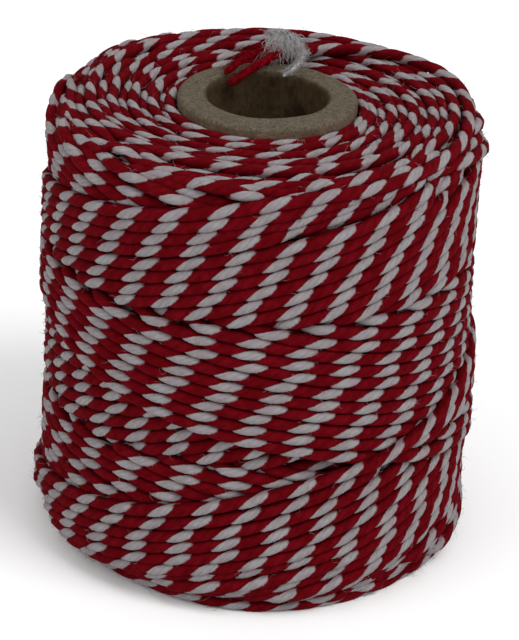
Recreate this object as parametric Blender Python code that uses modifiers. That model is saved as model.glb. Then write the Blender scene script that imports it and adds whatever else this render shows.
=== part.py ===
"""Cotton twine cross-wound on a cardboard tube, with a loose end tucked into the tube.

The tube stands on the XY plane with its axis on Z, and the front is towards -Y. The twine is wound in
a helix that climbs and falls by the same pitch. Each new turn lies beside the last one, so that each
direction ends in a ridge one turn deep, and those two helical ridges are raised in the winding's side.
An angle is counted from the front, towards +X, and grows the way that the twine was wound.
"""

from math import cos, pi, radians, sin, tau

import bpy
import numpy as np

MM = 0.001

# Cardboard tube
TUBE_HEIGHT = 73.0 * MM
TUBE_RADIUS = 14.0 * MM
TUBE_WALL = 4.7 * MM
TUBE_EDGE = 0.7 * MM  # how far the mouths' edges are rounded
TUBE_EDGE_ROWS = 3
TUBE_STEPS = 48

# Wound twine
TWINE = 2.0 * MM
GAP = 0.3 * MM  # between pieces that touch
WINDING_HEIGHT = 71.3 * MM
WINDING_RADIUS_FOOT = 34.5 * MM
WINDING_RADIUS_TOP = 33.4 * MM
FOOT_CURVE = (2.6 * MM, 5.0 * MM)  # width and height of the curve at the foot
SHOULDER_CURVE = (4.6 * MM, 8.5 * MM)
MOUTH_CURVE = (1.2 * MM, 0.8 * MM)  # where the top falls to the tube
WINDING_STEPS = 72
SIDE_ROWS = 24
CURVE_ROWS = 5
TOP_ROWS = 3
MOUTH_ROWS = 2

# The two helical ridges where the winding ended, at the front
HELIX_PITCH = 48.0 * MM
RISING_RIDGE_HEIGHT = 22.0 * MM
FALLING_RIDGE_HEIGHT = 28.5 * MM
RIDGE_DEPTH = 1.1 * MM
RIDGE_SLOPE = 0.06  # share of the pitch in which a ridge drops
RIDGE_FADE = 5.0 * MM  # height over which the ridges fade at both ends

# Loose end: radius, angle and height of its centre, along its route
LOOSE_END_ROUTE = (
    # radius mm, angle degrees, height mm
    (31.0, 109, 72.2),
    (30.2, 118, 72.5),
    (28.8, 129, 72.7),
    (26.6, 141, 72.8),
    (23.6, 153, 72.8),
    (20.0, 164, 72.8),
    (16.6, 172, 73.0),
)
PLY = 1.0 * MM
PLY_ROUTES = {
    # radius mm, angle degrees, height mm
    "ply_red_upper": (
        (15.5, 177, 74.2),
        (13.3, 182, 74.3),
        (10.9, 193, 74.2),
        (9.0, 208, 73.6),
        (8.2, 221, 71.7),
    ),
    "ply_red_lower": (
        (15.3, 171, 73.0),
        (13.0, 173, 74.0),
        (10.6, 177, 74.1),
        (8.9, 188, 73.2),
        (8.2, 202, 71.4),
        (8.2, 214, 69.6),
    ),
    "ply_white": (
        (15.6, 165, 73.2),
        (13.4, 163, 74.1),
        (10.9, 163, 74.2),
        (9.0, 165, 73.5),
        (8.2, 167, 72.0),
        (8.0, 168, 70.6),
    ),
}
ROUTE_STEP = 2.4  # diameters between a cord's points

WHITE_COTTON = (0.29, 0.23, 0.235, 1.0)
RED_COTTON = (0.125, 0.006, 0.010, 1.0)
CARDBOARD = (0.105, 0.085, 0.058, 1.0)


def clear_scene():
    for old in list(bpy.data.objects):
        bpy.data.objects.remove(old, do_unlink=True)


def material(name, colour, roughness):
    mat = bpy.data.materials.new(name)
    mat.use_nodes = True
    shader = mat.node_tree.nodes["Principled BSDF"]
    shader.inputs["Base Color"].default_value = colour
    shader.inputs["Roughness"].default_value = roughness
    shader.inputs["Metallic"].default_value = 0.0
    return mat


def quarter(centre, size, start, rows):
    """Points of a quarter ellipse, from the angle start in quarter turns, clockwise."""
    turns = (start * pi / 2 - pi / 2 * i / rows for i in range(rows + 1))
    return [(centre[0] + size[0] * cos(t), centre[1] + size[1] * sin(t)) for t in turns]


def turned(name, profile, steps, mat, collection):
    """A closed profile of (radius, height) points, turned about Z. It runs down its outer side."""
    mesh = bpy.data.meshes.new(name)
    count = len(profile)
    mesh.from_pydata([(r, 0, z) for r, z in profile], [(i, (i + 1) % count) for i in range(count)], [])
    obj = bpy.data.objects.new(name, mesh)
    collection.objects.link(obj)
    screw = obj.modifiers.new("Turn", "SCREW")
    screw.steps = screw.render_steps = steps
    screw.use_merge_vertices = True
    screw.merge_threshold = 1e-6
    screw.use_smooth_shade = True
    mesh.materials.append(mat)
    return obj


def applied(obj):
    """The object with its modifiers made real, so that its points can be moved."""
    evaluated = obj.evaluated_get(bpy.context.evaluated_depsgraph_get())
    mesh = bpy.data.meshes.new_from_object(evaluated)
    obj.modifiers.clear()
    obj.data = mesh
    return obj


def tube_profile():
    inner = TUBE_RADIUS - TUBE_WALL
    edge = (TUBE_EDGE, TUBE_EDGE)
    top, foot = TUBE_HEIGHT - TUBE_EDGE, TUBE_EDGE
    corners = ((TUBE_RADIUS - TUBE_EDGE, top, 1), (TUBE_RADIUS - TUBE_EDGE, foot, 0))
    corners += ((inner + TUBE_EDGE, foot, 3), (inner + TUBE_EDGE, top, 2))
    return [point for r, z, start in corners for point in quarter((r, z), edge, start, TUBE_EDGE_ROWS)]


def winding_profile():
    """Up over the edge at the tube, out along the top, down the side, and in along the flat foot."""
    inner = TUBE_RADIUS + GAP
    top_end = WINDING_RADIUS_TOP - SHOULDER_CURVE[0]
    high, low = WINDING_HEIGHT - SHOULDER_CURVE[1], FOOT_CURVE[1]
    points = quarter((inner + MOUTH_CURVE[0], WINDING_HEIGHT - MOUTH_CURVE[1]), MOUTH_CURVE, 2, MOUTH_ROWS)
    mouth_end = points[-1][0]
    for i in range(1, TOP_ROWS):
        points.append((mouth_end + (top_end - mouth_end) * i / TOP_ROWS, WINDING_HEIGHT))
    points += quarter((top_end, high), SHOULDER_CURVE, 1, CURVE_ROWS)
    for i in range(1, SIDE_ROWS):
        t = i / SIDE_ROWS
        radius = WINDING_RADIUS_TOP + (WINDING_RADIUS_FOOT - WINDING_RADIUS_TOP) * t
        points.append((radius, high + (low - high) * t))
    points += quarter((WINDING_RADIUS_FOOT - FOOT_CURVE[0], low), FOOT_CURVE, 0, CURVE_ROWS)
    points.append((inner, 0.0))
    return points


def ridge(turns):
    """1 at the newest turn, falling evenly to the oldest one a whole pitch away, then a short slope up."""
    t = np.mod(turns, 1.0)
    return np.where(t < 1 - RIDGE_SLOPE, 1 - t, RIDGE_SLOPE + (t - 1 + RIDGE_SLOPE) * (1 / RIDGE_SLOPE - 1))


def raise_ridges(obj):
    """Moves the side's points out where the newest turns lie and in where the oldest ones show."""
    count = len(obj.data.vertices)
    co = np.empty(count * 3)
    obj.data.vertices.foreach_get("co", co)
    co = co.reshape(-1, 3)
    radius = np.hypot(co[:, 0], co[:, 1])
    climb = np.arctan2(co[:, 0], -co[:, 1]) / tau
    z = co[:, 2]
    rising = ridge(climb - (z - RISING_RIDGE_HEIGHT) / HELIX_PITCH)
    falling = ridge(climb + (z - FALLING_RIDGE_HEIGHT) / HELIX_PITCH)
    fade = np.clip(z / RIDGE_FADE, 0, 1) * np.clip((WINDING_HEIGHT - z) / RIDGE_FADE, 0, 1)
    outside = np.clip((radius - TUBE_RADIUS - GAP) / RIDGE_FADE, 0, 1)
    out = RIDGE_DEPTH * (rising + falling - 1) * fade * outside
    co[:, :2] *= (1 + out / radius)[:, None]
    obj.data.vertices.foreach_set("co", co.ravel())
    obj.data.update()


def polar(radius, angle, height):
    """A point from its radius, its angle from the front in degrees and its height, all lengths in mm."""
    a = radians(angle)
    return np.array((radius * sin(a), -radius * cos(a), height)) * MM


def smooth_route(knots, spacing):
    """Even points on the Catmull-Rom curve through the knots."""
    p = np.vstack([2 * knots[0] - knots[1], knots, 2 * knots[-1] - knots[-2]])
    t = np.linspace(0, 1, 40, endpoint=False)[:, None]
    line = [
        0.5 * (2 * b + (c - a) * t + (2 * a - 5 * b + 4 * c - d) * t**2 + (3 * b - a - 3 * c + d) * t**3)
        for a, b, c, d in zip(p, p[1:], p[2:], p[3:])
    ]
    line = np.vstack(line + [knots[-1:]])
    run = np.concatenate([[0], np.cumsum(np.linalg.norm(np.diff(line, axis=0), axis=1))])
    at = np.linspace(0, run[-1], max(6, round(run[-1] / spacing)) + 1)
    return np.stack([np.interp(at, run, line[:, i]) for i in range(3)], axis=1)


def strand(name, route, diameter, mat, collection):
    """A cord along a route of polar points, with closed ends."""
    points = smooth_route(np.array([polar(*row) for row in route]), ROUTE_STEP * diameter)
    curve = bpy.data.curves.new(name, "CURVE")
    curve.dimensions = "3D"
    curve.bevel_depth = diameter / 2
    curve.bevel_resolution = 2
    curve.use_fill_caps = True
    spline = curve.splines.new("POLY")
    spline.points.add(len(points) - 1)
    for point, place in zip(spline.points, points):
        point.co = (*place, 1.0)
    curve.materials.append(mat)
    obj = bpy.data.objects.new(name, curve)
    collection.objects.link(obj)
    return obj


def main():
    clear_scene()
    twine_ball = bpy.data.collections.new("ball_of_twine")
    bpy.context.scene.collection.children.link(twine_ball)
    red = material("red_cotton", RED_COTTON, 0.9)
    white = material("white_cotton", WHITE_COTTON, 0.9)
    card = material("cardboard", CARDBOARD, 0.88)

    turned("tube", tube_profile(), TUBE_STEPS, card, twine_ball)
    winding = turned("winding", winding_profile(), WINDING_STEPS, red, twine_ball)
    raise_ridges(applied(winding))
    strand("loose_end", LOOSE_END_ROUTE, TWINE, red, twine_ball)
    for name, route in PLY_ROUTES.items():
        strand(name, route, PLY, white if name == "ply_white" else red, twine_ball)


main()
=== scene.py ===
"""Looks of a reel of two-colour cotton twine, cross-wound on a cardboard tube.

Lengths are in millimetres until a mesh is made. An angle is in degrees, counted from the front
towards +X, which is the way that the twine was wound.
"""
import math

import bpy
import numpy as np
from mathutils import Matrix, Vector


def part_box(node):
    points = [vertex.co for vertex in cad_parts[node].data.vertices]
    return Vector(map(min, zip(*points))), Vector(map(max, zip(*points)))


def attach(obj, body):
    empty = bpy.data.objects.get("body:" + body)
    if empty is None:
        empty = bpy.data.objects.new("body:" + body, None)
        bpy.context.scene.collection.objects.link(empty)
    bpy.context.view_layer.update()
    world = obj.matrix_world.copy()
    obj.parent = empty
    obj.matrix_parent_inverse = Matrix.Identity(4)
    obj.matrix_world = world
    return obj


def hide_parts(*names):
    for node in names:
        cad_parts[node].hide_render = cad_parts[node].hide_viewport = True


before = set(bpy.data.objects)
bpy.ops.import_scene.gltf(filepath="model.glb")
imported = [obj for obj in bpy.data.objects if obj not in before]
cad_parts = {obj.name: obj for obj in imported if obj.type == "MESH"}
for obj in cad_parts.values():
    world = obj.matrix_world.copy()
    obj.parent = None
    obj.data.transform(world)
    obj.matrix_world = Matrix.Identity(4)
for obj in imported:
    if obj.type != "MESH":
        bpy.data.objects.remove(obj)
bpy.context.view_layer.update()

MM = 0.001
rng = np.random.default_rng(7)

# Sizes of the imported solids, and of the winding's outline
tube_corner = np.array(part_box("tube")[1]) / MM
winding_corner = np.array(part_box("winding")[1]) / MM
TUBE_RADIUS, TUBE_HEIGHT = tube_corner[0], tube_corner[2]
TUBE_WALL = 4.7
TUBE_BORE = TUBE_RADIUS - TUBE_WALL
WINDING_HEIGHT = winding_corner[2]
FOOT_RADIUS = 34.5
TOP_RADIUS = 33.4
FOOT_CURVE = (2.6, 5.0)  # half axes of the quarter ellipse: out and up
SHOULDER_CURVE = (4.6, 8.5)
BESIDE_TUBE = 0.6

# Camera, fitted to the photograph's outline
CAMERA_DISTANCE = 442.0
CAMERA_ELEVATION = 26.2
CAMERA_ROLL = 2.64
CAMERA_TARGET = 35.0
FOCAL_PIXELS = 2764.0
FRAME_PIXELS = (519, 640)
CENTRE_PIXELS = (257.7, 314.9)

# Twine
TWINE = 2.0
TWIST = 7.45  # length of one full twist of the plies
SOFT_RADIUS = 1.06  # of turns that are squeezed together
ROW_RADIUS = 0.92  # of the rows on the top and underneath
RING_STEP = 0.95  # between the rings of points that the twine is made of

# Traverse: the twine climbs and falls once in a little less than three turns
PITCH_ANGLE = 15.4
PERIOD = 1080.0 - PITCH_ANGLE
LAST_TOP = 24.4  # angle at which the last climb reached the top
HIGH_END = 73.25  # where the straight climbs and falls would meet, along the outline
LOW_END = 1.25
CLIMB = (HIGH_END - LOW_END) / (PERIOD / 2)  # along the outline, for each degree
PITCH = CLIMB * 360
RISING_RIDGE = HIGH_END - CLIMB * LAST_TOP
FALLING_RIDGE = HIGH_END - CLIMB * (360 - PITCH_ANGLE / 2 - LAST_TOP)
TOP_ROUNDING = 23.0  # degrees
FOOT_ROUNDING = 16.0
TURNAROUND = 60.0  # width of a turnaround, in degrees
TOP_MARCH = 0.06  # how much further in each older turnaround lies
FOOT_MARCH = 0.05
FALL_SHIFT = 0.53  # how much higher the falls are at half height
LOW_SHIFT = -1.65  # how much higher the climbs are near the foot
LOW_PLACE = (14, 9)  # middle and width along the outline
LEFT_TILT = 2.2  # how much the falls are turned, low on the left
LEFT_ANGLE = -50
LEFT_WIDTH = 50.0
LEFT_PLACE = (18, 9)
WANDER, OWN_WANDER = 0.35, 0.07  # slow waves of neighbouring layers together, and of each alone
WANDER_DRIFT = 0.06  # how far the waves move on with each older layer
OUTER_LAYERS = 47  # to and fros that are laid on the side
HIGH_BAND = 48  # climbs that cross the front above this belong to the high band

# Rows on the top and underneath
ROW = 1.6  # between rows
FIRST_TOP_ROW = 69.3
FIRST_FOOT_ROW = 3.0
ROW_TURNS = 6.4
ROW_WANDER = 0.16
OLDER_STROKES = 56  # the rows lie over this stroke and all older ones

# Kinds of stretch: a stroke's kind is its number, and those below 0 don't hide what is under them
LOOSE_END, LAST_TURN = -2, -1
TOP_ROWS, FOOT_ROWS = 1001, 1003

# Heights over the outline
SUNK = 0.62  # how far the middle of a turn lies under the outline
SHOULDER_PROUD = 0.9
BACK_PROUD = 1.3
FULLEST = 40.0  # degrees left of the back, where the shoulder is fullest
SHOULDER_PLACE = (71.0, 6.5)  # middle and width along the outline
FOOT_PROUD = 0.5
FOOT_PLACE = (1.5, 4.5)
FOOT_CUT = 1.7  # how much slimmer the foot is at the left of the front
FOOT_CUT_ANGLE = -45
FOOT_CUT_WIDTH = 38.0
FOOT_CUT_PLACE = (0.5, 3.6)
RIDGE_DEPTH = 1.1
RIDGE_SLOPE = 0.06
RIDGE_FOOT, RIDGE_TOP = (1, 6), (72, 8)  # where the ridges end, and over what length they fade
LOWEST = 0.88  # middle of the turns that rest on the table
PRESSED = 1.6  # the most that a turn is pressed down, because soft twine gives way
END_PRESSED = 0.8  # the same at the shoulder and the foot, where the turns run nearly level
SIDE_MIDDLE, SIDE_HALF, SIDE_FADE = 36, 28, 4  # the side, where turns are pressed down the most
ROW_PRESSED = 0.7
BURIED = 0.6  # a turn that would lie this much deeper still doesn't show
BURIED_DEPTH = 0.8  # how much deeper it is then let down
DEEP_ROW = 2.3  # between the turns that fill below the ones that show
DEEP_LIFT = -2.7
DEEP_INSET = 4  # from the outline's ends
DEEP_STEP = 1.5  # between rings
DEEP_TWIST = 0.18  # turns of twist from one point of theirs to the next
CORE_DEPTH = 3.6

# Maps of what is laid, round the reel and along the outline
CELL_DEGREES = 0.5
CELL = 0.25
CELLS_ROUND = int(360 / CELL_DEGREES)
OPEN = 99.0  # underside where nothing is laid
OUTLINE_END = 0.4  # how far from the outline's ends the turns stay
CONTACT = 0.4  # half width of the contact between turns, as a share of the twine
PRESS_CELLS = np.arange(-3, 4)  # across a turn, that it rests on
SIGHT_CELLS = np.arange(-2, 3)  # across a turn, one of which is open if it shows
HIDE_CELLS = np.arange(-4, 5)  # across a turn, that it hides
HUMP_CELLS = 10  # half the width of the humps that are cut off
EVEN_CELLS = 8  # over which heights are evened out
TUCK_CELLS = 16  # of each stretch's ends, which go under the turns beside them
TUCK_DEPTH = 0.8

# Meshes
MOST_TRIANGLES = 190000  # in one piece of turns
STRAY_HAIRS, STRAY_LENGTH = 6500, 1.3
PLY_HAIRS, PLY_HAIR_LENGTH = 420, 1.0
TUFT_HAIRS = 1050


def polar(radius, angle, height):
    """Points from radius, angle from the front in degrees, and height."""
    a = np.radians(angle)
    return np.stack(np.broadcast_arrays(radius * np.sin(a), -radius * np.cos(a), height), axis=-1)


def bell(value, middle, width):
    """A bell curve, exp(-x^2): 1 at the middle, and 1/e at a width from it."""
    return np.exp(-(((value - middle) / width) ** 2))


def degrees_from(angle, middle, period=360.0):
    """Degrees from a middle angle, from minus half a period to half a period."""
    return np.mod(angle - middle + period / 2, period) - period / 2


def run_length(points):
    """Distance along a line of points, from its start."""
    return np.concatenate([[0], np.cumsum(np.linalg.norm(np.diff(points, axis=0), axis=1))])


def rows_at(even, run, values):
    """Rows of values at even distances, straight between the given ones."""
    return np.stack([np.interp(even, run, column) for column in values.T], axis=1)


def smooth(values, reach):
    """Rows of values, blurred by a raised cosine that reaches so many rows either way."""
    kernel = np.hanning(2 * reach + 3)[1:-1]
    padded = np.pad(values, ((reach, reach), (0, 0)), mode="edge")
    return np.stack([np.convolve(column, kernel / kernel.sum(), "valid") for column in padded.T], axis=1)


def outline():
    """The winding's outline as arrays of distance, radius, height and outward normal.

    It runs out under the foot, up the side and in over the top: straight lines joined by quarter
    ellipses. The distance along it is measured so that it equals the height at the foot of the side.
    """
    low, high = FOOT_CURVE[1], WINDING_HEIGHT - SHOULDER_CURVE[1]
    inner = TUBE_RADIUS + BESIDE_TUBE
    quarter = np.linspace(0, math.pi / 2, 60)
    foot = (FOOT_RADIUS - FOOT_CURVE[0] + FOOT_CURVE[0] * np.sin(quarter), low - low * np.cos(quarter))
    top_start = TOP_RADIUS - SHOULDER_CURVE[0]
    shoulder = (top_start + SHOULDER_CURVE[0] * np.cos(quarter), high + SHOULDER_CURVE[1] * np.sin(quarter))
    radius = np.concatenate([[inner], foot[0], shoulder[0], [inner]])
    height = np.concatenate([[0], foot[1], shoulder[1], [WINDING_HEIGHT]])
    run = np.concatenate([[0], np.cumsum(np.hypot(np.diff(radius), np.diff(height)))])
    even = np.arange(0, run[-1], 0.1)
    radius, height = np.interp(even, run, radius), np.interp(even, run, height)
    out = smooth(np.stack([np.gradient(height), -np.gradient(radius)], axis=1), 11)
    out /= np.linalg.norm(out, axis=1)[:, None]
    return even - run[len(quarter)] + low, radius, height, out


OUT_AT, OUT_RADIUS, OUT_HEIGHT, OUT_NORMAL = outline()


def on_outline(angle, at, lift):
    """Points and outward directions at a distance along the outline, lifted off it."""
    nr, nz = np.interp(at, OUT_AT, OUT_NORMAL[:, 0]), np.interp(at, OUT_AT, OUT_NORMAL[:, 1])
    radius = np.interp(at, OUT_AT, OUT_RADIUS) + nr * lift
    height = np.interp(at, OUT_AT, OUT_HEIGHT) + nz * lift
    return polar(radius, angle, height), polar(nr, angle, nz)


def seen_from_the_side(outward, at):
    """Outward directions, nearer to level for the turns round the foot, which show from the side.

    From a little way under the foot on, the height of each that points down shrinks to a fifth.
    """
    turned = outward.copy()
    turned[:, 2] *= 1 - 0.8 * np.clip((at + 2.2) / 1.6, 0, 1) * (outward[:, 2] < 0)
    return turned


def ridge(turns):
    """1 at the newest turn, falling evenly to the oldest one a whole pitch away, then a short slope up."""
    t = np.mod(turns, 1.0)
    return np.where(t < 1 - RIDGE_SLOPE, 1 - t, RIDGE_SLOPE + (t - 1 + RIDGE_SLOPE) * (1 / RIDGE_SLOPE - 1))


def base_lift(angle, at):
    """Where the middle of plain turns lies: under the outline, but fuller over the shoulder and the foot.

    The shoulder is fuller at the back: its height goes with half of 1 - cos(angle - FULLEST). The foot
    is slimmer at the left of the front, by a bell curve in angle and in distance.
    """
    back = (1 - np.cos(np.radians(angle - FULLEST))) / 2
    shoulder = (SHOULDER_PROUD + BACK_PROUD * back) * bell(at, *SHOULDER_PLACE)
    foot = FOOT_PROUD * bell(at, *FOOT_PLACE)
    cut = bell(degrees_from(angle, FOOT_CUT_ANGLE), 0, FOOT_CUT_WIDTH) * bell(at, *FOOT_CUT_PLACE)
    return shoulder + foot - FOOT_CUT * cut - SUNK


def free_surface(angle, at):
    """How far above the outline the twine's centre lies where nothing covers it, from the two ridges.

    Each ridge is a helix of its own pitch, and both fade out towards the foot and the shoulder.
    """
    turn = angle / 360
    rising = ridge(turn - (at - RISING_RIDGE) / PITCH)
    falling = ridge(turn + (at - FALLING_RIDGE) / PITCH)
    foot = np.clip((at - RIDGE_FOOT[0]) / RIDGE_FOOT[1], 0, 1)
    top = np.clip((RIDGE_TOP[0] - at) / RIDGE_TOP[1], 0, 1)
    return RIDGE_DEPTH * (rising + falling - 1) * foot * top + base_lift(angle, at)


def wander(angle, seeds, size):
    """A slow wave round the reel: four sines of whole numbers of waves a turn, with seeded phases."""
    a = np.radians(angle)
    return size * sum(np.sin(n * a + seeds[i]) for i, n in enumerate((1, 2, 3, 5))) / 2


shared_seeds = rng.uniform(0, 2 * math.pi, 4)
top_slip = rng.normal(0, 0.3, OUTER_LAYERS + 2)
foot_slip = rng.normal(0, 0.3, OUTER_LAYERS + 2)


def traverse(angle, age):
    """Distance along the outline at a winding angle.

    Straight climbs and falls, whose ends are hyperbolas, and which older layers carry further in
    over the top and under the foot. Falls are a little higher at half height and flatter low on the
    left, climbs lower near the foot, and slow waves make all of them uneven.
    """
    past_top = degrees_from(angle, LAST_TOP, PERIOD)
    falling = past_top > 0
    from_top = np.abs(past_top)
    from_foot = PERIOD / 2 - from_top
    at = HIGH_END - CLIMB * from_top
    at -= CLIMB * (np.hypot(from_top, TOP_ROUNDING) - from_top)
    at += CLIMB * (np.hypot(from_foot, FOOT_ROUNDING) - from_foot)
    layer = int(age)
    at += (TOP_MARCH * age + top_slip[layer]) * bell(from_top, 0, TURNAROUND)
    at -= (FOOT_MARCH * age + foot_slip[layer]) * bell(from_foot, 0, TURNAROUND)
    from_left = degrees_from(angle, LEFT_ANGLE)
    tilt = LEFT_TILT * np.tanh(2 * from_left / LEFT_WIDTH) * bell(from_left, 0, LEFT_WIDTH)
    at += tilt * bell(at, *LEFT_PLACE) * falling
    at += FALL_SHIFT * falling * np.sin(math.pi * from_top / (PERIOD / 2)) ** 2
    at += LOW_SHIFT * ~falling * bell(at, *LOW_PLACE)
    own_seeds = np.random.default_rng(100 + layer).uniform(0, 2 * math.pi, 4)
    at += wander(angle, shared_seeds + layer * WANDER_DRIFT, WANDER)
    return at + wander(angle, own_seeds, OWN_WANDER)


def filtered(values, reach):
    """The least value within reach on either side."""
    padded = np.pad(values, reach, mode="edge")
    return np.lib.stride_tricks.sliding_window_view(padded, 2 * reach + 1).min(axis=1)


def widened(flags, reach):
    """Flags that are also set within reach on either side."""
    return -filtered(-flags.astype(float), reach) > 0


def without_scraps(shown, gap=9, least=46):
    """What shows, without short stretches. Stretches less than a gap apart count as one."""
    core = filtered(widened(shown, gap).astype(float), least // 2) > 0
    return shown & widened(core, least // 2)


class Laying:
    """Lays the twine from its end back to its start, so that each older stretch is pressed under newer ones.

    Two maps round the reel and along the outline hold the underside of what is laid and what is
    covered. A stretch lies at the free surface, or as deep as round twine must under what crosses it.
    """

    def __init__(self):
        self.count = int((OUT_AT[-1] - OUT_AT[0]) / CELL) + 2
        self.underside = np.full((CELLS_ROUND, self.count), OPEN)
        self.covered = np.zeros((CELLS_ROUND, self.count), bool)
        self.stretches = []
        self.newer = None

    def beside(self, column, place, offsets):
        """Indices into the maps, of the cells at some offsets along the outline."""
        return tuple(np.broadcast_arrays(column, np.clip(place + offsets, 0, self.count - 1)))

    def evened(self, deep, newer):
        """Heights without narrow humps or jumps. They never rise, and they meet the newer stretch's."""
        tail = deep[-1:] if newer is None else newer[:EVEN_CELLS]
        deep = -filtered(-filtered(deep, HUMP_CELLS), HUMP_CELLS)
        both = np.concatenate([deep, np.resize(tail, EVEN_CELLS)])
        both = np.pad(both, (EVEN_CELLS, 0), mode="edge")
        low = np.lib.stride_tricks.sliding_window_view(both, EVEN_CELLS + 1).min(axis=1)
        window = np.hanning(EVEN_CELLS + 3)[1:-1]
        window /= window.sum()
        lift = np.convolve(low, window, "valid")[: len(deep)]
        if newer is not None:
            lift += (newer[0] - lift[-1]) * np.exp(-np.arange(len(lift))[::-1] / EVEN_CELLS)
        return lift

    def lay(self, start, end, route, kind, joined=True):
        """Lays the turns from one winding angle to another. route gives their place and free height.

        Turns that would be pressed too deep, and scraps that would hardly show, leave the maps alone.
        """
        sag = np.sqrt(np.maximum((TWINE * CONTACT) ** 2 - (PRESS_CELLS * CELL) ** 2, 0))
        cells = np.arange(math.ceil(start / CELL_DEGREES), math.ceil(end / CELL_DEGREES))
        angle = cells * CELL_DEGREES
        at, free = route(angle)
        at = np.clip(at, OUT_AT[0] + OUTLINE_END, OUT_AT[-1] - OUTLINE_END)
        column = np.mod(cells, CELLS_ROUND)[:, None]
        place = np.rint((at - OUT_AT[0]) / CELL).astype(int)[:, None]
        rests_on = self.underside[self.beside(column, place, PRESS_CELLS)] - sag
        deep = np.minimum(free, rests_on.min(axis=1))
        near_end = np.clip((np.abs(at - SIDE_MIDDLE) - SIDE_HALF) / SIDE_FADE, 0, 1)
        pressed = ROW_PRESSED if kind >= TOP_ROWS else PRESSED + (END_PRESSED - PRESSED) * near_end
        floor = base_lift(angle, at) - pressed
        buried = deep < floor - BURIED
        deep = np.maximum(deep, floor - BURIED_DEPTH * buried)
        lift = self.evened(deep, self.newer if joined else None)
        clear = ~self.covered[self.beside(column, place, SIGHT_CELLS)].all(axis=1) & ~buried
        shown = without_scraps(clear)
        solid = ~buried & ~(clear & ~shown)
        column, place = column[solid], place[solid]
        np.minimum.at(self.underside, self.beside(column, place, PRESS_CELLS), lift[solid, None] - sag)
        if kind >= 0:
            self.covered[self.beside(column, place, HIDE_CELLS)] = True
        self.stretches.append((angle, at, lift, shown, np.full(len(angle), kind)))
        self.newer = lift

    def joined_up(self):
        """All stretches from the oldest to the newest, as arrays."""
        return [np.concatenate(part) for part in zip(*reversed(self.stretches))]


def to_loose_end(angle):
    """The last of the twine: from the last turnaround to the place where it comes loose, rising there."""
    share = (angle - LAST_TOP) / (LOOSE_START - LAST_TOP)
    at = traverse(np.full(1, LAST_TOP), 0) * (1 - share) + LOOSE_AT * share
    plain = base_lift(angle, at)
    return at, plain + (LOOSE_LIFT - plain) * np.clip(share * 3 - 2, 0, 1)


def under_loose_end(angle):
    """The loose end itself, so that the turns below give way to it."""
    route = np.array(LOOSE_END_ROUTE)
    radius, height = (np.interp(angle, route[:, 1], route[:, i]) for i in (0, 2))
    gap = np.hypot(OUT_RADIUS - radius[:, None], OUT_HEIGHT - height[:, None])
    return OUT_AT[gap.argmin(axis=1)], gap.min(axis=1)


def stroke_route(age):
    """Place and free height of a climb or fall that is so many to and fros old."""

    def route(angle):
        at = traverse(angle, age)
        return at, free_surface(angle, at)

    return route


def row_route(first, step, seed):
    """Rows beside each other, as a spiral that goes in by two rows a turn, and wanders a little."""
    phases = np.random.default_rng(seed).uniform(0, 2 * math.pi, 4)
    slower = np.random.default_rng(seed + 1).uniform(0, 2 * math.pi, 4)

    def route(angle):
        at = first + 2 * step * angle / 360 + wander(angle, phases, ROW_WANDER)
        at = at + wander(angle / 3, slower, ROW_WANDER)
        return at, base_lift(angle, at)

    return route


def lay_rows(laying, kind, first, step, seed):
    """Two spirals of rows, one between the turns of the other."""
    for i in range(2):
        route = row_route(first + i * step, step, seed)
        laying.lay(-360, 360 * ROW_TURNS, route, kind + i, joined=False)


def lay_twine():
    """The whole winding as far as it shows: strokes on the side, and rows on the top and underneath."""
    laying = Laying()
    laying.lay(LOOSE_START, LOOSE_END_ROUTE[-1][1], under_loose_end, LOOSE_END)
    laying.stretches.clear()
    laying.lay(LAST_TOP, LOOSE_START, to_loose_end, LAST_TURN)
    for stroke in range(2 * OUTER_LAYERS):
        if stroke == OLDER_STROKES:
            newest = laying.newer
            lay_rows(laying, TOP_ROWS, FIRST_TOP_ROW, ROW, 31)
            lay_rows(laying, FOOT_ROWS, FIRST_FOOT_ROW, -ROW, 51)
            laying.newer = newest
        start, end = LAST_TOP - (stroke + 1) * PERIOD / 2, LAST_TOP - stroke * PERIOD / 2
        laying.lay(start, end, stroke_route(stroke / 2), stroke)
    return laying.joined_up()


def deep_turns():
    """Even turns below the ones that show, from one end of the outline to the other."""
    turns = (OUT_AT[-1] - OUT_AT[0] - 2 * DEEP_INSET) / DEEP_ROW
    angle = np.arange(0, turns * 360, 2.5)  # a point every 2.5 degrees
    at = OUT_AT[0] + DEEP_INSET + DEEP_ROW * angle / 360
    return on_outline(angle, at, base_lift(angle, at) + SUNK + DEEP_LIFT)


# Dash columns where each band crosses the front: place of the newest one, step to each older one, and
# how far each third one is off
BAND_COLUMNS = {"high climb": (1.8, -1.3, 0.5), "low climb": (0.2, -1.05, 0.8), "fall": (-1.7, 1.1, 0.8)}


def twist_phase(angle, at, stroke, points):
    """Turns of twist along the twine, drawn so that the dashes line up in columns at the front."""
    run = run_length(points)
    turns = run / TWIST
    uneven = np.random.default_rng(17).normal(0, 0.35, 4 * OUTER_LAYERS)
    front = np.nonzero((np.mod(angle, 360) == 0) & (stroke >= 0) & (stroke < 2 * OUTER_LAYERS))[0]
    fixes = []
    for i in front:
        age, high = stroke[i] / 2, at[i] > HIGH_BAND
        band = "fall" if stroke[i] % 2 else ("high climb" if high else "low climb")
        place, step, third = BAND_COLUMNS[band]
        place += uneven[stroke[i] + high] + third * math.sin(2 * math.pi * age / 3)
        wanted = -(place + step * age) / TWIST
        fixes.append((wanted - turns[i] + 0.5) % 1 - 0.5)
    return turns + np.interp(run, run[front], np.unwrap(fixes, period=1.0))


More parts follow.
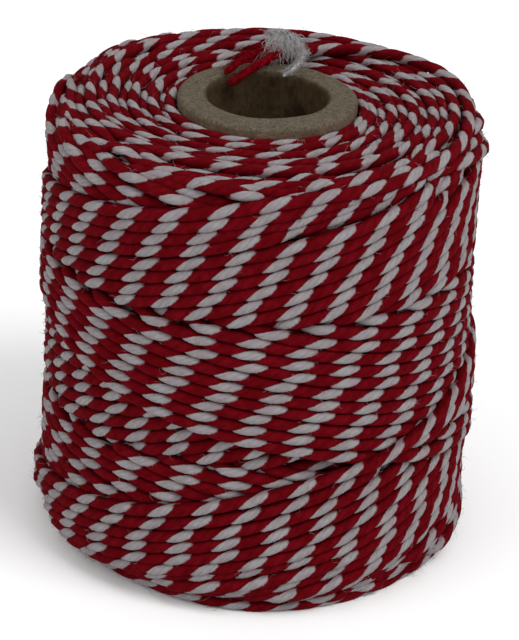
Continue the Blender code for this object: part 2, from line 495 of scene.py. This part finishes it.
def shown_runs(shown, angle):
    """Start and end of each stretch that shows, with a little more at both ends."""
    wide = np.convolve(shown.astype(float), np.ones(2 * TUCK_CELLS + 1), "same") > 0
    breaks = np.nonzero(np.abs(np.diff(angle) - CELL_DEGREES) > 1e-6)[0]
    wide[breaks] = False
    edges = np.diff(np.concatenate([[0], wide.astype(int), [0]]))
    starts, ends = np.nonzero(edges == 1)[0], np.nonzero(edges == -1)[0]
    return [(a, b) for a, b in zip(starts, ends) if b - a > TUCK_CELLS]


def tucked_in(points, outward, last):
    """A stretch with its ends sunk under the turns beside them, by a parabola; the last one's end isn't."""
    steps = np.arange(len(points)) / TUCK_CELLS
    sink = np.clip(1 - steps, 0, 1) ** 2
    if not last:
        sink += np.clip(1 - steps[::-1], 0, 1) ** 2
    return points - outward * (TUCK_DEPTH * sink)[:, None]


def resample(points, outward, turns, step=RING_STEP):
    """Even points along a stretch, with their outward directions and twist."""
    run = run_length(points)
    even = np.linspace(0, run[-1], max(3, round(run[-1] / step) + 1))
    return rows_at(even, run, points), rows_at(even, run, outward), np.interp(even, run, turns)


# Section of the twine: two soft plies, white towards 0 degrees, which meet in grooves at 76 degrees
PROFILE_ANGLES = (-76, -51, -26, 0, 26, 51, 76, 97, 138, 180, 222, 263)
PROFILE_RADII = (0.81, 0.95, 1.01, 1.03, 1.01, 0.95, 0.81, 0.96, 1.05, 1.06, 1.05, 0.96)


def twisted_profile():
    """Points of the section, anticlockwise from one groove: radius times cosine and sine of angle."""
    angle = np.radians(PROFILE_ANGLES)
    return np.array(PROFILE_RADII)[:, None] * np.stack([np.cos(angle), np.sin(angle)], axis=1)


def tube_quads(rings, around):
    """Faces between neighbouring rings of points, each with so many points around."""
    i, j = np.meshgrid(np.arange(rings - 1), np.arange(around), indexing="ij")
    k = (j + 1) % around
    low, high = i * around, (i + 1) * around
    return np.stack([low + j, low + k, high + k, high + j], axis=-1).reshape(-1, 4)


def rope_surface(stretches, profile, around):
    """One mesh of many stretches: the profile's own axes turn with the twist about each stretch's middle.

    A stretch is (points, outward directions, twist in turns, radius). At a twist of 0 the profile's
    +x is outward, and its +y is to the side, which is the tangent crossed with outward. Each end is
    closed by a fan to its own centre. The UV map holds the twist, and the place round the profile
    between the two values of around. The flank is how far a point faces sideways, from 0 to 1.
    """
    verts, faces, ends, twist, flank = [], [], [], [], []
    base, ring = 0, len(profile)
    j = np.arange(ring)
    k = (j + 1) % ring
    place = around[0] + (around[1] - around[0]) * np.stack([j, j + 1, j + 1, j], axis=-1) / ring
    for points, outward, turns, radius in stretches:
        n = len(points)
        tangent = np.gradient(points, axis=0)
        tangent /= np.linalg.norm(tangent, axis=1)[:, None]
        out = outward - (outward * tangent).sum(axis=1)[:, None] * tangent
        out /= np.linalg.norm(out, axis=1)[:, None]
        side = np.cross(tangent, out)
        cos, sin = np.cos(2 * math.pi * turns)[:, None], np.sin(2 * math.pi * turns)[:, None]
        x = out * cos - side * sin
        y = out * sin + side * cos
        radius = np.broadcast_to(radius, n)[:, None, None]
        offsets = profile[None, :, :1] * x[:, None] + profile[None, :, 1:] * y[:, None]
        rings = points[:, None] + radius * offsets
        verts += [rings.reshape(-1, 3), points[:1], points[-1:]]
        sideways = np.abs(profile[None, :, 1] * cos - profile[None, :, 0] * sin)
        flank += [(sideways / np.hypot(profile[:, 0], profile[:, 1])).ravel(), np.zeros(2)]
        faces.append(base + tube_quads(n, ring))
        u = np.repeat(np.stack([turns[:-1], turns[:-1], turns[1:], turns[1:]], axis=-1), ring, axis=0)
        twist.append(np.stack([u, np.tile(place, (n - 1, 1))], axis=-1).reshape(-1, 2))
        last = base + (n - 1) * ring
        head = np.stack([np.full(ring, base + n * ring), base + k, base + j], axis=1)
        foot = np.stack([np.full(ring, base + n * ring + 1), last + j, last + k], axis=1)
        ends.append((np.concatenate([head, foot]), turns[0], turns[-1]))
        base += n * ring + 2
    return verts, faces, ends, twist, flank


def build_mesh(name, verts, quads, triangles, quad_uv=None, triangle_uv=None):
    """A smooth mesh object from arrays in millimetres, with the twist as its UV map."""
    mesh = bpy.data.meshes.new(name)
    verts = np.asarray(verts) * MM
    loops = np.concatenate([quads.ravel(), triangles.ravel()]).astype(np.int32)
    sizes = np.concatenate([np.full(len(quads), 4), np.full(len(triangles), 3)])
    starts = np.concatenate([[0], np.cumsum(sizes)[:-1]]).astype(np.int32)
    mesh.vertices.add(len(verts))
    mesh.loops.add(len(loops))
    mesh.polygons.add(len(sizes))
    mesh.vertices.foreach_set("co", verts.astype(np.float32).ravel())
    mesh.loops.foreach_set("vertex_index", loops)
    mesh.polygons.foreach_set("loop_start", starts)
    if quad_uv is not None:
        layer = mesh.uv_layers.new(name="twist")
        layer.data.foreach_set("uv", np.concatenate([quad_uv, triangle_uv]).astype(np.float32).ravel())
    mesh.update(calc_edges=True)
    mesh.validate()
    mesh.shade_smooth()
    obj = bpy.data.objects.new(name, mesh)
    bpy.context.scene.collection.objects.link(obj)
    return obj


def rope_object(name, stretches, profile, around=(0.0, 1.0)):
    """A mesh object of many stretches of twine, flat where it would go through the table."""
    verts, faces, ends, twist, flank = rope_surface(stretches, profile, around)
    points = np.concatenate(verts)
    points[:, 2] = np.maximum(points[:, 2], 0)
    ring = len(profile)
    place = around[0] + (around[1] - around[0]) * (np.arange(ring) + 0.5) / ring
    place = np.stack([place] * 3, axis=1)
    caps = [np.stack([np.full((ring, 3), t), place], axis=-1) for e in ends for t in e[1:]]
    triangles = np.concatenate([e[0] for e in ends])
    cap_uv = np.concatenate(caps).reshape(-1, 2)
    obj = build_mesh(name, points, np.concatenate(faces), triangles, np.concatenate(twist), cap_uv)
    obj.data.attributes.new("flank", "FLOAT", "POINT").data.foreach_set("value", np.concatenate(flank))
    return obj


class Value:
    """One output of a shader tree. Arithmetic on it adds Math nodes."""

    def __init__(self, finish, socket):
        self.finish, self.socket = finish, socket

    def math(self, operation, *others):
        """Adds a Math node with this value as its first."""
        return self.finish.add("Math", {"operation": operation}, dict(enumerate((self, *others))))

    def __add__(self, other):
        return self.math("ADD", other)

    def __sub__(self, other):
        return self.math("SUBTRACT", other)

    def __mul__(self, other):
        return self.math("MULTIPLY", other)

    def __pow__(self, other):
        return self.math("POWER", other)

    def __rsub__(self, other):
        return (self * -1) + other

    __radd__, __rmul__ = __add__, __mul__

    def fract(self):
        return self.math("FRACT")

    def abs(self):
        return self.math("ABSOLUTE")

    def step(self, low, high):
        """0 below low, 1 above high, with a smooth rise between."""
        settings = {"interpolation_type": "SMOOTHSTEP"}
        return self.finish.add("MapRange", settings, {"Value": self, "From Min": low, "From Max": high})


class Finish:
    """One material's node tree, and the only way that nodes are added to it."""

    def __init__(self, name, roughness=0.95):
        self.material = bpy.data.materials.new(name)
        self.material.use_nodes = True
        self.tree = self.material.node_tree
        self.shader = self.tree.nodes["Principled BSDF"]
        self.shader.inputs["Roughness"].default_value = roughness
        self.shader.inputs["Specular IOR Level"].default_value = 0.03

    def put(self, socket, value):
        """Links a Value to a socket, or sets a number or colour on the socket itself."""
        if isinstance(value, Value):
            self.tree.links.new(value.socket, socket)
        elif isinstance(value, tuple) and len(value) == 3 and socket.type == "RGBA":
            socket.default_value = (*value, 1.0)
        else:
            socket.default_value = value

    def add(self, kind, settings=None, inputs=None, output=0):
        """Adds a node: its type, its settings, then the values or links of its sockets."""
        node = self.tree.nodes.new("ShaderNode" + kind)
        for key, value in (settings or {}).items():
            setattr(node, key, value)
        for key, value in (inputs or {}).items():
            self.put(node.inputs[key], value)
        return Value(self, node.outputs[output])

    def mix(self, share, first, second):
        """A colour between two, by a share from 0 to 1."""
        return self.add("Mix", {"data_type": "RGBA"}, {0: share, 6: first, 7: second}, output=2)

    def noise(self, vector, scale, detail=3.0, rough=0.6):
        """Noise from 0 to 1, with scale cells to a unit of the vector."""
        inputs = {"Vector": vector, "Scale": scale, "Detail": detail, "Roughness": rough}
        return self.add("TexNoise", None, inputs)

    def vector(self, x, y, z):
        """A vector from three values or numbers."""
        return self.add("CombineXYZ", None, {0: x, 1: y, 2: z})

    def place(self):
        """Place on the object, in metres."""
        return self.add("TexCoord", None, None, output=3)

    def split(self, vector):
        """The three values of a vector."""
        parts = self.add("SeparateXYZ", None, {0: vector}).socket.node
        return [Value(self, output) for output in parts.outputs]

    def bump(self, height, distance):
        """Fine relief: a height from 0 to 1 stands for so many metres."""
        normal = self.add("Bump", None, {"Height": height, "Distance": distance, "Strength": 1.0})
        self.put(self.shader.inputs["Normal"], normal)

    def colour(self, value):
        """Base colour."""
        self.put(self.shader.inputs["Base Color"], value)


RED_DARK, RED, RED_LIGHT = (0.050, 0.0004, 0.0016), (0.105, 0.0007, 0.0030), (0.150, 0.0024, 0.0068)
WHITE_DARK, WHITE, WHITE_LIGHT = (0.178, 0.152, 0.157), (0.248, 0.219, 0.228), (0.309, 0.296, 0.301)
# Painted shade of the valley between neighbouring turns, for the white and the red ply
WHITE_VALLEY_SHADE, RED_VALLEY_SHADE = (0.165, 0.078, 0.088), (0.034, 0.0002, 0.0008)
WHITE_SHARE = 0.5  # of the points round the profile
COMBED_WHITE = ((0.235, 0.220, 0.222), (0.405, 0.390, 0.393))
COMBED_RED = ((0.060, 0.0004, 0.002), (0.190, 0.0010, 0.006))
# Painted shade: the deep turns' red, far darker than the twine's own
SHADED_DEEP_RED = ((0.018, 0.001, 0.0015), (0.05, 0.003, 0.005))
BOARD_RIM = ((0.068, 0.054, 0.038), (0.128, 0.106, 0.078))
BOARD_SIDE = ((0.085, 0.050, 0.032), (0.150, 0.106, 0.070))
# Board in the bore: its own darker colour, deepened by painted shade
BOARD_BORE_AND_SHADE = ((0.021, 0.0125, 0.0045), (0.056, 0.034, 0.0150))
LIGHT_GRAIN, DARK_GRAIN = (0.200, 0.172, 0.130), (0.030, 0.022, 0.014)
FLOOR_WHITE = (0.94, 0.94, 0.94)


def twine_finish():
    """Two plies, one of two white yarns and one of three red ones, with fine cotton fibres along them.

    White reaches half way round the profile, less on the flank, with a ragged edge. Both colours
    darken on the flank: painted shade of the valley between neighbouring turns.
    """
    f = Finish("twisted_cotton")
    along, around, _ = f.split(f.add("UVMap", {"uv_map": "twist"}))
    place = f.place()
    cloud = f.noise(place, 420.0, 2.0)
    flank = f.add("Attribute", {"attribute_name": "flank"}, output=2)
    half = WHITE_SHARE / 2
    fleck = f.noise(place, 2600.0, 2.0)
    ragged = (cloud - 0.5) * 0.08 + (fleck - 0.5) * 0.10
    reach = half * 1.03 - (flank**4) * (half * 0.72) + ragged
    white = (reach - (around - half).abs()).step(-0.034, 0.034)
    yarn = ((around * 5 + along * 0.5).fract() - 0.5).abs() * 2
    round_yarn = 1 - yarn * yarn
    fibre = f.noise(f.vector(around * 42, along * 6, cloud * 1.5), 1.0, 4.0, 0.7)
    # The yarns' roundness darkens the tone towards the grooves between yarns: painted shade in those grooves
    tone = (fibre * 0.85 + round_yarn * 0.15).step(0.12, 0.88)
    reds = f.mix(tone, RED_DARK, f.mix(cloud.step(0.35, 0.65), RED, RED_LIGHT))
    whites = f.mix(tone, WHITE_DARK, f.mix(cloud.step(0.35, 0.65), WHITE, WHITE_LIGHT))
    # Painted shade: both colours darken where the surface faces sideways, in the valley between turns
    valley_shade = flank.step(0.66, 1.0)
    whites = f.mix(valley_shade * 0.55, whites, WHITE_VALLEY_SHADE)
    reds = f.mix(valley_shade * 0.5, reds, RED_VALLEY_SHADE)
    f.colour(f.mix(white, reds, whites))
    f.bump(round_yarn * 0.2 + fibre * 0.5 + fleck * 0.3, 0.00014)
    return f.material


def fibre_finish(name, dark, light):
    """Loose cotton fibres of one colour, lighter and darker by place."""
    f = Finish(name)
    cloud = f.noise(f.place(), 1400.0, 3.0)
    f.colour(f.mix(cloud.step(0.3, 0.7), dark, light))
    f.bump(cloud, 0.0001)
    return f.material


def core_finish():
    """Turns deep in the winding: red cotton painted far darker as their shade, with fine streaks round the
    reel.
    """
    f = Finish("shaded_deep_cotton")
    tone = f.noise(f.place(), 900.0, 3.0)
    f.colour(f.mix(tone, *SHADED_DEEP_RED))
    f.bump(tone, 0.0003)
    return f.material


def board_finish():
    """Pressed board: grey-brown and fibrous on the cut rim, warmer on the outside, and dark in the bore,
    partly its own colour and partly painted shade.
    """
    f = Finish("pressed_board")
    place = f.place()
    parts = f.split(place)
    radius = (parts[0] * parts[0] + parts[1] * parts[1]) ** 0.5
    mottle = f.noise(place, 330.0, 4.0, 0.65)
    fibres = f.noise(f.vector(parts[0] * 1300, parts[1] * 1300, parts[2] * 500), 1.0, 5.0, 0.75)
    grain = f.noise(place, 2600.0, 3.0, 0.75)
    rim = f.mix(fibres.step(0.25, 0.75), *BOARD_RIM)
    side = f.mix(mottle.step(0.30, 0.70), *BOARD_SIDE)
    on_rim = parts[2].step((TUBE_HEIGHT - 1.3) * MM, (TUBE_HEIGHT - 0.3) * MM)
    colour = f.mix(on_rim, side, rim)
    colour = f.mix(grain.step(0.52, 0.72) * 0.6, colour, LIGHT_GRAIN)
    colour = f.mix(grain.step(0.50, 0.30) * 0.6, colour, DARK_GRAIN)
    # Darker inside the bore: partly the board's own colour, partly painted shade of the bore
    bore = 1 - radius.step((TUBE_BORE + 0.1) * MM, (TUBE_BORE + 0.8) * MM)
    bore_colour_and_shade = f.mix(((mottle + fibres) * 0.5).step(0.38, 0.62), *BOARD_BORE_AND_SHADE)
    f.colour(f.mix(bore * 0.85, colour, bore_colour_and_shade))
    f.bump(fibres * 0.6 + mottle * 0.4 + grain * 0.6, 0.00028)
    return f.material


def stage_finish():
    """Plain pale floor."""
    f = Finish("pale_floor", 0.9)
    f.colour(FLOOR_WHITE)
    return f.material


# Loose end: radius, angle and height of its centre, along its route
LOOSE_END_ROUTE = (
    (31.0, 109, 72.2),
    (30.2, 118, 72.5),
    (28.8, 129, 72.7),
    (26.6, 141, 72.8),
    (23.6, 153, 72.8),
    (20.0, 164, 72.8),
    (16.6, 172, 73.0),
)
LOOSE_START = LOOSE_END_ROUTE[0][1]
start_gap = np.hypot(OUT_RADIUS - LOOSE_END_ROUTE[0][0], OUT_HEIGHT - LOOSE_END_ROUTE[0][2])
LOOSE_AT, LOOSE_LIFT = OUT_AT[start_gap.argmin()], start_gap.min()
# Loose plies: route as above, radius at the start and the tip, and share of the twine's profile
PLIES = {
    "ply_red_upper": (
        ((16.2, 174, 74.0), (14.2, 183, 74.6), (12.0, 194, 74.7), (10.4, 207, 74.4), (9.6, 219, 73.9),
         (9.5, 226, 73.4)),
        0.66,
        0.58,
        (0.56, 0.94),
    ),
    "ply_red_lower": (
        ((15.8, 170, 73.2), (13.0, 176, 74.3), (9.9, 184, 74.5), (7.9, 200, 74.0), (7.4, 218, 73.2),
         (7.7, 232, 72.2)),
        0.74,
        0.66,
        (0.56, 0.94),
    ),
    "ply_white": (
        ((16.4, 163, 74.4), (14.4, 158, 74.9), (12.0, 154.5, 74.9), (9.6, 153, 74.5), (7.9, 155, 74.0),
         (6.9, 161, 73.4)),
        0.50,
        0.36,
        (0.08, 0.42),
    ),
}


def smooth_route(knots, spacing):
    """Even points on the Catmull-Rom curve through the knots, a cubic between each two of them."""
    p = np.vstack([2 * knots[0] - knots[1], knots, 2 * knots[-1] - knots[-2]])
    t = np.linspace(0, 1, 40, endpoint=False)[:, None]
    line = [
        0.5 * (2 * b + (c - a) * t + (2 * a - 5 * b + 4 * c - d) * t**2 + (3 * b - a - 3 * c + d) * t**3)
        for a, b, c, d in zip(p, p[1:], p[2:], p[3:])
    ]
    line = np.vstack(line + [knots[-1:]])
    run = run_length(line)
    return rows_at(np.linspace(0, run[-1], max(6, round(run[-1] / spacing)) + 1), run, line)


def make_camera():
    """The camera that the photograph's outline gives, rolled about its own axis."""
    data = bpy.data.cameras.new("camera")
    data.sensor_width = 36.0
    data.lens = FOCAL_PIXELS * data.sensor_width / max(FRAME_PIXELS)
    data.shift_x = (FRAME_PIXELS[0] / 2 - CENTRE_PIXELS[0]) / max(FRAME_PIXELS)
    data.shift_y = (CENTRE_PIXELS[1] - FRAME_PIXELS[1] / 2) / max(FRAME_PIXELS)
    data.clip_start, data.clip_end = 0.01, 50.0
    cam = bpy.data.objects.new("camera", data)
    bpy.context.scene.collection.objects.link(cam)
    e = math.radians(CAMERA_ELEVATION)
    back = CAMERA_DISTANCE * MM
    cam.location = (0, -back * math.cos(e), CAMERA_TARGET * MM + back * math.sin(e))
    tilt = Matrix.Rotation(math.pi / 2 - e, 3, "X")
    roll = Matrix.Rotation(math.radians(CAMERA_ROLL), 3, "Z")
    cam.rotation_euler = (tilt @ roll).to_euler()
    bpy.context.scene.camera = cam


def soft_light(name, place, size, power):
    """A square area light, aimed at the middle of the reel."""
    data = bpy.data.lights.new(name, "AREA")
    data.energy = power
    data.size = size
    obj = bpy.data.objects.new(name, data)
    obj.location = place
    aim = Vector((0, 0, CAMERA_TARGET * MM)) - obj.location
    obj.rotation_euler = aim.to_track_quat("-Z", "Y").to_euler()
    bpy.context.scene.collection.objects.link(obj)


def make_stage():
    """The pale floor, an even white world, and a key and a fill light."""
    size = 6.0  # from the middle to each side, in metres
    corners = [(-size, -size, 0), (size, -size, 0), (size, size, 0), (-size, size, 0)]
    mesh = bpy.data.meshes.new("floor")
    mesh.from_pydata(corners, [], [(0, 1, 2, 3)])
    mesh.materials.append(stage_finish())
    floor = bpy.data.objects.new("floor", mesh)
    bpy.context.scene.collection.objects.link(floor)
    world = bpy.data.worlds.new("studio")
    world.use_nodes = True
    world.node_tree.nodes["Background"].inputs["Color"].default_value = (1, 1, 1, 1)
    world.node_tree.nodes["Background"].inputs["Strength"].default_value = 0.78
    bpy.context.scene.world = world
    soft_light("key", (0.70, -0.50, 1.15), 0.7, 11.0)
    soft_light("fill", (-0.8, -0.5, 0.6), 0.8, 2.6)
    bpy.context.scene.view_settings.view_transform = "Standard"


def dressed(obj, mat, slot, *nodes):
    """Gives a piece its material and body, and hides the solids that it stands for."""
    obj.data.materials.append(mat)
    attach(obj, "root")
    if nodes:
        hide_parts(*nodes)
    return obj


def in_pieces(stretches, limit):
    """The stretches in groups of at most so many rings of points."""
    groups, size = [[]], 0
    for stretch in stretches:
        if size + len(stretch[0]) > limit:
            groups.append([])
            size = 0
        groups[-1].append(stretch)
        size += len(stretch[0])
    return groups


def make_winding(mat):
    """All turns that show, their stray fibres and plainer turns below.

    Gives the twist at the twine's end, which the loose end goes on with.
    """
    angle, at, lift, shown, stroke = lay_twine()
    points, outward = on_outline(angle, at, lift)
    outward = seen_from_the_side(outward, at)
    points[:, 2] = np.maximum(points[:, 2], LOWEST)
    points = smooth(points, 2)
    turns = twist_phase(angle, at, stroke, points)
    runs = shown_runs(shown, angle)
    stretches = []
    for a, b in runs:
        tucked = tucked_in(points[a:b], outward[a:b], b == len(points))
        stretch = resample(tucked, outward[a:b], turns[a:b])
        stretches.append((*stretch, ROW_RADIUS if stroke[a] >= TOP_ROWS else SOFT_RADIUS))
    profile = twisted_profile()
    for i, group in enumerate(in_pieces(stretches, MOST_TRIANGLES // (2 * len(profile)))):
        dressed(rope_object(f"turns_{i + 1}", group, profile), mat, "red_cotton", "winding")
    clear = np.concatenate([np.arange(a, b)[shown[a:b]] for a, b in runs])
    stray = fuzz("stray_fibres_1", points[clear], outward[clear], turns[clear], TWINE / 2,
                 STRAY_HAIRS, STRAY_LENGTH, np.random.default_rng(55))
    dressed(stray, mat, "red_cotton", "winding")
    below, outward = deep_turns()
    stretch = resample(below, outward, np.arange(len(below)) * DEEP_TWIST, DEEP_STEP)
    deep = rope_object("turns_below", [(*stretch, TWINE / 2)], profile[::2])
    dressed(deep, mat, "red_cotton", "winding")
    return turns[-1]


def ring_surface(name, points):
    """A closed surface from a grid of points, joined round the reel and round its section.

    The section runs out under the foot, up the outside and in over the top.
    """
    steps, n = points.shape[:2]
    i, j = np.meshgrid(np.arange(steps), np.arange(n), indexing="ij")
    i2, j2 = (i + 1) % steps, (j + 1) % n
    quads = np.stack([i * n + j, i2 * n + j, i2 * n + j2, i * n + j2], axis=-1).reshape(-1, 4)
    return build_mesh(name, points.reshape(-1, 3), quads, np.zeros((0, 3), int))


def make_core(mat):
    """The winding below the turns that are made one by one: its outline, sunk by an even depth."""
    keep = slice(5, -5, 12)  # rows of the outline, without its ends
    angle = (np.arange(120) * 3.0)[:, None]  # once round
    lift = base_lift(angle, OUT_AT[None, keep]) + SUNK - CORE_DEPTH
    inner = TUBE_RADIUS + 0.35
    radius = np.maximum(OUT_RADIUS[keep] + OUT_NORMAL[keep, 0] * lift, inner + 0.2)
    height = OUT_HEIGHT[keep] + OUT_NORMAL[keep, 1] * lift
    radius = np.pad(radius, ((0, 0), (1, 1)), constant_values=inner)
    height = np.pad(height, ((0, 0), (1, 1)), mode="edge")
    dressed(ring_surface("turns_deep", polar(radius, angle, height)), mat, "red_cotton", "winding")


def tube_waves(points, angle):
    """Slight unevenness of cut board: two slow sines in the radius and two in the height of the rim."""
    a = np.radians(angle)
    radius = np.hypot(points[..., 0], points[..., 1])
    soft = 0.04 * np.sin(3 * a + 1) + 0.03 * np.sin(7 * a + 2)
    scale = 1 + (soft - 0.05) / radius
    out = points.copy()
    out[..., 0] *= scale
    out[..., 1] *= scale
    near_rim = np.clip((points[..., 2] - TUBE_HEIGHT + 3) / 3, 0, 1)
    out[..., 2] += near_rim * (0.10 * np.sin(2 * a + 0.6) + 0.05 * np.sin(5 * a) - 0.12)
    return out


def make_tube(mat):
    """The tube: an upright oblong in section, with quarter circles for its corners."""
    edge, rows = 0.9, 6
    quarter = np.linspace(0, math.pi / 2, rows)
    sin, cos = edge * np.sin(quarter), edge * np.cos(quarter)
    outer, inner, top = TUBE_RADIUS, TUBE_BORE, TUBE_HEIGHT
    side = np.linspace(edge, top - edge, 40)[1:-1]
    radius = [outer - edge + sin, np.full(len(side), outer), outer - edge + cos]
    height = [edge - cos, side, top - edge + sin]
    radius += [inner + edge - sin, np.full(len(side), inner), inner + edge - cos]
    height += [top - edge + cos, side[::-1], edge - sin]
    angle = (np.arange(160) * 2.25)[:, None]  # once round
    points = polar(np.concatenate(radius)[None, :], angle, np.concatenate(height)[None, :])
    dressed(ring_surface("card_tube", tube_waves(points, angle)), mat, "cardboard", "tube")


def yarn_profile():
    """Three yarns: the radius is 1 - 0.16 (1 - cos 3 angle) / 2."""
    angle = np.arange(12) * math.pi / 6
    return (1 - 0.08 * (1 - np.cos(3 * angle)))[:, None] * np.stack([np.cos(angle), np.sin(angle)], axis=1)


def make_loose_end(mat, last_turns):
    """The end of the twine over the top of the turns, and the plies that it opens into."""
    knots = np.array([polar(*row) for row in LOOSE_END_ROUTE])
    path = smooth_route(knots, 0.8)
    run = run_length(path)
    up = np.tile([0.0, 0.0, 1.0], (len(path), 1))
    end = rope_object("twine_end", [(path, up, last_turns + run / TWIST, TWINE / 2)], twisted_profile())
    dressed(end, mat, "red_cotton", "loose_end")
    draw = np.random.default_rng(91)
    white = fibre_finish("combed_white_cotton", *COMBED_WHITE)
    red = fibre_finish("combed_red_cotton", *COMBED_RED)
    for name, (route, thick, thin, around) in PLIES.items():
        look, slot = (white, "white_cotton") if name == "ply_white" else (red, "red_cotton")
        line = smooth_route(np.array([polar(*row) for row in route]), 0.4)
        up = np.tile([0.0, 0.0, 1.0], (len(line), 1))
        share = np.linspace(0, 1, len(line))
        radius = (thick + (thin - thick) * share**2) * np.clip((1.04 - share) * 12, 0.35, 1)
        ply = rope_object("frayed_" + name, [(line, up, share * 1.6, radius)], yarn_profile(), around)
        dressed(ply, look, slot, name)
        stray = fuzz("fibres_of_" + name, line, up, share, radius, PLY_HAIRS, PLY_HAIR_LENGTH, draw)
        dressed(stray, look, slot, name)
    dressed(make_tuft(), white, "white_cotton", "ply_white")


def hairs(name, start, bend, rise, tip, thick, curl, draw, tint, points=8):
    """Many fine fibres: each the cubic Bezier curve of its four rows, with a curl that grows along it.

    Its section is a triangle that shrinks to a third at the tip, and both ends are closed. The tint
    is its place round the twine's profile, which gives its colour.
    """
    count = len(start)
    s = np.linspace(0, 1, points)[None, :, None]
    a, b, c, d = (row[:, None, :] for row in (start, bend, rise, tip))
    path = a * (1 - s) ** 3 + 3 * b * s * (1 - s) ** 2 + 3 * c * s**2 * (1 - s) + d * s**3
    phase = draw.uniform(0, 2 * math.pi, (count, 1, 3))
    waves = draw.uniform(0.8, 1.9, (count, 1, 3))
    path = path + curl * s * (np.sin(2 * math.pi * waves * s + phase) - np.sin(phase))
    tangent = np.gradient(path, axis=1)
    tangent /= np.linalg.norm(tangent, axis=2)[..., None]
    side = np.cross(tangent, [0.31, 0.17, 0.93])  # a direction that few fibres follow
    side /= np.linalg.norm(side, axis=2)[..., None]
    other = np.cross(tangent, side)
    turn = np.arange(3) * 2 * math.pi / 3
    radius = (thick[:, None] * (1 - 0.67 * s[0, :, 0] ** 2))[:, :, None, None]
    around = np.cos(turn)[:, None] * side[:, :, None] + np.sin(turn)[:, None] * other[:, :, None]
    rings = path[:, :, None] + radius * around
    quad = tube_quads(points, 3)
    last = (points - 1) * 3
    caps = np.array([[0, 2, 1], [last, last + 1, last + 2]])
    base = (np.arange(count) * points * 3)[:, None, None]
    quads, triangles = (base + quad).reshape(-1, 4), (base + caps).reshape(-1, 3)
    quad_uv, cap_uv = (np.repeat(np.stack([tint, tint], axis=1), n, axis=0) for n in (len(quad) * 4, 6))
    rings[..., 2] = np.maximum(rings[..., 2], 0)
    obj = build_mesh(name, rings.reshape(-1, 3), quads, triangles, quad_uv, cap_uv)
    obj.data.attributes.new("flank", "FLOAT", "POINT")
    return obj


def fuzz(name, places, outward, turns, radius, count, long, draw):
    """Fine fibres that stand off the twine at random places of the side that shows.

    Each leaves the surface at an angle from outward of up to 100 degrees, leans along the twine and
    has the colour of the ply that it leaves.
    """
    pick = draw.integers(1, len(places) - 1, count)
    along = places[pick + 1] - places[pick - 1]
    along /= np.linalg.norm(along, axis=1)[:, None]
    out = outward[pick] - (outward[pick] * along).sum(axis=1)[:, None] * along
    out /= np.linalg.norm(out, axis=1)[:, None]
    angle = draw.uniform(-1.75, 1.75, count)
    away = np.cos(angle)[:, None] * out + np.sin(angle)[:, None] * np.cross(along, out)
    theta = np.mod(angle / (2 * math.pi) + turns[pick] + 0.5, 1) - 0.5
    tint = np.where(np.abs(theta) < 0.21, 0.25, 0.75)
    start = places[pick] + away * np.broadcast_to(radius, len(places))[pick][:, None] * 0.9
    reach = draw.uniform(0.35, 1.0, (count, 1)) * long
    lean = along * draw.choice([-1.0, 1.0], (count, 1))
    bend = start + away * reach * 0.45
    rise = bend + (away * 0.25 + lean * 0.5) * reach
    tip = rise + (away * draw.uniform(-0.3, 0.35, (count, 1)) + lean * 0.4) * reach
    thick = draw.uniform(0.018, 0.030, count)
    return hairs(name, start, bend, rise, tip, thick, 0.16 * long, draw, tint, 5)


def make_tuft():
    """The white ply's fibres, combed forward over the rim from where they leave the twine."""
    draw = np.random.default_rng(77)
    count = TUFT_HAIRS
    start = (2.5, 21.8, 73.9) + draw.normal(0, 1, (count, 3)) * (1.2, 1.1, 0.35)
    bend = (2.1, 19.3, 75.4) + draw.normal(0, 1, (count, 3)) * (1.3, 0.9, 0.4)
    fan = draw.uniform(-1, 1, count)
    tip = np.stack([1.9 + 3.9 * fan, 12.4 + 1.4 * fan, np.full(count, 73.9)], axis=1)
    tip += draw.normal(0, 1, (count, 3)) * (0.45, 1.0, 0.4)
    rise = np.stack([2.0 + 3.1 * fan, 16.0 + 0.8 * fan, np.full(count, 75.5)], axis=1)
    rise += draw.normal(0, 1, (count, 3)) * (0.45, 0.7, 0.4)
    short = draw.uniform(0.5, 1.0, (count, 1))
    tip, rise = start + (tip - start) * short, start + (rise - start) * (0.3 + 0.7 * short)
    return hairs("white_tuft", start, bend, rise, tip, draw.uniform(0.04, 0.075, count), 0.3, draw,
                 np.full(count, 0.25))


make_camera()
make_stage()
cotton = twine_finish()
make_core(core_finish())
make_loose_end(cotton, make_winding(cotton))
make_tube(board_finish())
